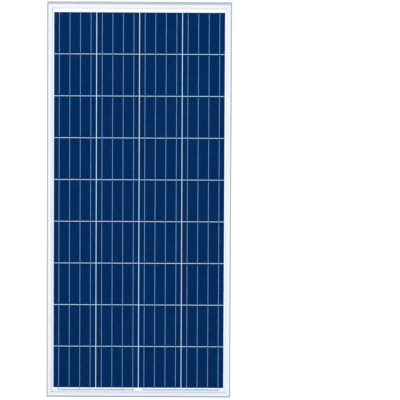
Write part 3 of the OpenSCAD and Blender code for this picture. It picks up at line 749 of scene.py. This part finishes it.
def make_world():
    """A pale surround that lights from the front more than from the sides and rear.

    The camera sees it as plain white."""
    world = bpy.data.worlds.new("surround")
    world.use_nodes = True
    tree = world.node_tree
    tree.nodes.clear()
    output = tree.nodes.new("ShaderNodeOutputWorld")
    background = tree.nodes.new("ShaderNodeBackground")
    place = tree.nodes.new("ShaderNodeTexCoord")
    split = tree.nodes.new("ShaderNodeSeparateXYZ")
    spread = tree.nodes.new("ShaderNodeMapRange")
    seen = tree.nodes.new("ShaderNodeLightPath")
    pick = tree.nodes.new("ShaderNodeMix")
    pick.inputs["B"].default_value = BACKGROUND_STRENGTH
    spread.inputs["From Min"].default_value = -1.0
    spread.inputs["From Max"].default_value = 0.0
    spread.inputs["To Min"].default_value = FRONT_STRENGTH
    spread.inputs["To Max"].default_value = REAR_STRENGTH
    background.inputs["Color"].default_value = rgba(SKY)
    tree.links.new(place.outputs["Generated"], split.inputs[0])
    tree.links.new(split.outputs[1], spread.inputs["Value"])
    tree.links.new(seen.outputs["Is Camera Ray"], pick.inputs["Factor"])
    tree.links.new(spread.outputs[0], pick.inputs["A"])
    tree.links.new(pick.outputs[0], background.inputs["Strength"])
    tree.links.new(background.outputs[0], output.inputs["Surface"])
    bpy.context.scene.world = world


def make_softbox(name, location, power, side):
    """A square soft light aimed at the middle of the panel."""
    data = bpy.data.lights.new(name, "AREA")
    data.energy = power
    data.size = side
    light = bpy.data.objects.new(name, data)
    light.location = location
    light.rotation_mode = "QUATERNION"
    light.rotation_quaternion = (-Vector(location)).to_track_quat("-Z", "Y")
    bpy.context.scene.collection.objects.link(light)


# ---------- camera, leads and finished pieces in place ----------

make_camera()

lead_positive = make_lead(
    "lead_positive_cable",
    lead_route(POSITIVE_START, positive_coil_point, POSITIVE_COIL_TO, POSITIVE_END, POSITIVE_PLUG),
)
lead_negative = make_lead(
    "lead_negative_cable",
    lead_route(NEGATIVE_START, negative_coil_point, NEGATIVE_COIL_TO, NEGATIVE_END, NEGATIVE_PLUG),
)
for lead, cad_node in ((lead_positive, "lead_positive"), (lead_negative, "lead_negative")):
    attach(lead, "root")
    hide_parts(cad_node)

# Width of each piece's rounded edges, in millimetres
ROUNDING = {
    "frame_rail_left": 0.35, "frame_rail_right": 0.35, "frame_rail_top": 0.35,
    "frame_rail_bottom": 0.35, "corner_rivets": 0.25, "jbox_base": 0.4, "jbox_lid": 0.5,
    "gland_nut_positive": 0.3, "gland_nut_negative": 0.3, "lead_tie": 0.25,
    "plug_positive_body": 0.3, "plug_positive_nut": 0.3,
    "plug_negative_body": 0.3, "plug_negative_nut": 0.3,
}
shown = dict(nodes)
for node_name, width in ROUNDING.items():
    shown[node_name] = finished(node_name, width)
shown["lead_positive"] = lead_positive
shown["lead_negative"] = lead_negative
shown["front_glass"] = make_pane()

for lead, sign, length in (
    (lead_positive, "positive", POSITIVE_LENGTH), (lead_negative, "negative", NEGATIVE_LENGTH)
):
    parts = [shown["plug_" + sign + part] for part in ("_body", "_nut", "_seal", "_contact")]
    if sign == "positive":
        parts.append(shown["lead_tie"])

# ---------- colours and finishes ----------

# Scale of the streaks along x, y and z: a small one draws them out along its axis
ALONG_X = (12.0, 1400.0, 1400.0)
ALONG_Z = (1400.0, 1400.0, 12.0)
PIN_STREAKS = (20.0, 900.0, 900.0)
BAR_STREAKS = (900.0, 900.0, 60.0)
STRAND_STREAKS = (2500.0, 2500.0, 60.0)
RIVET_GRAIN = (600.0, 600.0, 600.0)
CONTACT_GRAIN = (800.0, 800.0, 800.0)

FRAME_METAL = (0.79, 0.825, 0.89)
RIVET_METAL = (0.88, 0.89, 0.91)
PIN_STEEL = (0.60, 0.60, 0.62)
BRASS = (0.74, 0.64, 0.42)
COPPER = (0.72, 0.44, 0.29)
CONTACT_SILVER = (0.78, 0.78, 0.80)
RIBBON_TIN = (0.21, 0.41, 0.75)
BUS_TIN = (0.45, 0.53, 0.62)
BOX_BLACK = (0.0075, 0.0105, 0.0145)
GLAND_BLACK = (0.013, 0.016, 0.020)
PLUG_BLACK = (0.012, 0.014, 0.018)
DIODE_BLACK = (0.016, 0.016, 0.018)
JACKET_BLACK = (0.010, 0.0115, 0.014)
NYLON_BLACK = (0.009, 0.009, 0.010)
RUBBER_BLACK = (0.02, 0.02, 0.021)
SILICONE_GREY = (0.72, 0.75, 0.79)
FILM_WHITE = (0.87, 0.91, 0.97)
# Painted shade and blue light on the film between the cells
FILM_PAINTED_GAP_SHADE = (0.60, 0.79, 0.99)
BACKSHEET_WHITE = (0.645, 0.69, 0.775)
RATING_PAPER = (0.185, 0.22, 0.28)
RATING_INK = (0.035, 0.042, 0.058)
SERIAL_PAPER = (0.055, 0.062, 0.072)
SERIAL_INK = (0.42, 0.44, 0.47)

# The frame rails' colour holds painted shade on their bevels and rear faces
frame_upright = brushed_metal(
    "anodised_upright", FRAME_METAL, roughness=0.34, stretch=ALONG_Z, painted_frame_shade=True
)
frame_level = brushed_metal(
    "anodised_level", FRAME_METAL, roughness=0.34, stretch=ALONG_X, painted_frame_shade=True
)
rivet_metal = brushed_metal("rivet_metal", RIVET_METAL, roughness=0.25, stretch=RIVET_GRAIN)
pin_steel = brushed_metal("steel_pin", PIN_STEEL, roughness=0.28, stretch=PIN_STREAKS)
brass = brushed_metal("terminal_brass", BRASS, roughness=0.3, stretch=BAR_STREAKS)
copper = brushed_metal("copper_strands", COPPER, roughness=0.35, stretch=STRAND_STREAKS)
contact_metal = brushed_metal(
    "contact_metal", CONTACT_SILVER, roughness=0.22, stretch=CONTACT_GRAIN
)
cell_ribbon = solder_ribbon("cell_ribbon", RIBBON_TIN)
bus_metal = solder_ribbon("bus_ribbon", BUS_TIN)
box_plastic = moulded_plastic("box_plastic", BOX_BLACK, roughness=0.5, specular=0.22)
gland_plastic = moulded_plastic("gland_plastic", GLAND_BLACK, roughness=0.36, grain=1500.0)
plug_plastic = moulded_plastic("plug_plastic", PLUG_BLACK, roughness=0.44, grain=2000.0)
diode_plastic = moulded_plastic("diode_case", DIODE_BLACK, roughness=0.35)
jacket = moulded_plastic("cable_jacket", JACKET_BLACK, roughness=0.38, grain=900.0)
nylon = moulded_plastic("tie_nylon", NYLON_BLACK, roughness=0.32, grain=800.0)
black_rubber = rubber("black_rubber", RUBBER_BLACK)
silicone = rubber("silicone", SILICONE_GREY)
glass = solar_glass("solar_glass")
cells = silicon("polycrystalline_silicon")
white_film = laminate_film("white_film", FILM_WHITE, FILM_PAINTED_GAP_SHADE)
backsheet_film = laminate_film("backsheet_film", BACKSHEET_WHITE)
rating_print = printed_label(
    "rating_print", "rating_label", RATING_PAPER, RATING_INK, rows=21, fill=0.5
)
serial_print = printed_label(
    "serial_print", "serial_sticker", SERIAL_PAPER, SERIAL_INK, rows=3, fill=0.45
)

STRINGS = range(1, 5)
# Finish slot, then each material with the pieces that it covers
FINISHES = {
    "anodised_frame": {
        frame_upright: ["frame_rail_left", "frame_rail_right"],
        frame_level: ["frame_rail_top", "frame_rail_bottom"],
    },
    "plain_aluminium": {rivet_metal: ["corner_keys", "corner_rivets"]},
    "silicone": {silicone: ["edge_sealant", "jbox_adhesive"]},
    "solar_glass": {glass: ["front_glass"]},
    "silicon_cell": {cells: [f"cell_string_{number}" for number in STRINGS]},
    "tinned_ribbon": {
        cell_ribbon: [f"string_ribbons_{number}" for number in STRINGS],
        bus_metal: ["bus_ribbons_bottom", "bus_ribbons_top", "lead_out_ribbons"],
    },
    "white_film": {white_film: ["bus_cover_strip", "lead_out_insulator", "rear_encapsulant"]},
    "backsheet_film": {backsheet_film: ["backsheet"]},
    "label_film": {rating_print: ["rating_label"]},
    "dark_label": {serial_print: ["serial_sticker"]},
    "box_plastic": {box_plastic: ["jbox_base", "jbox_lid"]},
    "gland_plastic": {gland_plastic: ["gland_nut_positive", "gland_nut_negative"]},
    "black_rubber": {
        black_rubber: [
            "jbox_gasket", "gland_seal_positive", "gland_seal_negative",
            "plug_positive_seal", "plug_negative_seal",
        ]
    },
    "steel_pin": {pin_steel: ["jbox_hinge_pin"]},
    "terminal_brass": {brass: ["terminal_positive", "terminal_middle", "terminal_negative"]},
    "diode_case": {diode_plastic: ["bypass_diode_1", "bypass_diode_2"]},
    "copper_strands": {copper: ["conductor_ends"]},
    "cable_jacket": {jacket: ["lead_positive", "lead_negative"]},
    "tie_nylon": {nylon: ["lead_tie"]},
    "plug_plastic": {
        plug_plastic: [
            "plug_positive_body", "plug_positive_nut", "plug_negative_body", "plug_negative_nut",
        ]
    },
    "contact_metal": {contact_metal: ["plug_positive_contact", "plug_negative_contact"]},
}
for slot_name, group in FINISHES.items():
    for finish, members in group.items():
        for member in members:
            dress(shown[member], finish)

# ---------- stage -----------------------

make_floor()
make_world()
make_softbox("front_softbox", location=(-3.5, -6.0, 4.5), power=200.0, side=5.0)
make_softbox("rear_softbox", location=(4.0, 6.0, 4.5), power=140.0, side=6.0)
bpy.context.scene.view_settings.view_transform = "Standard"
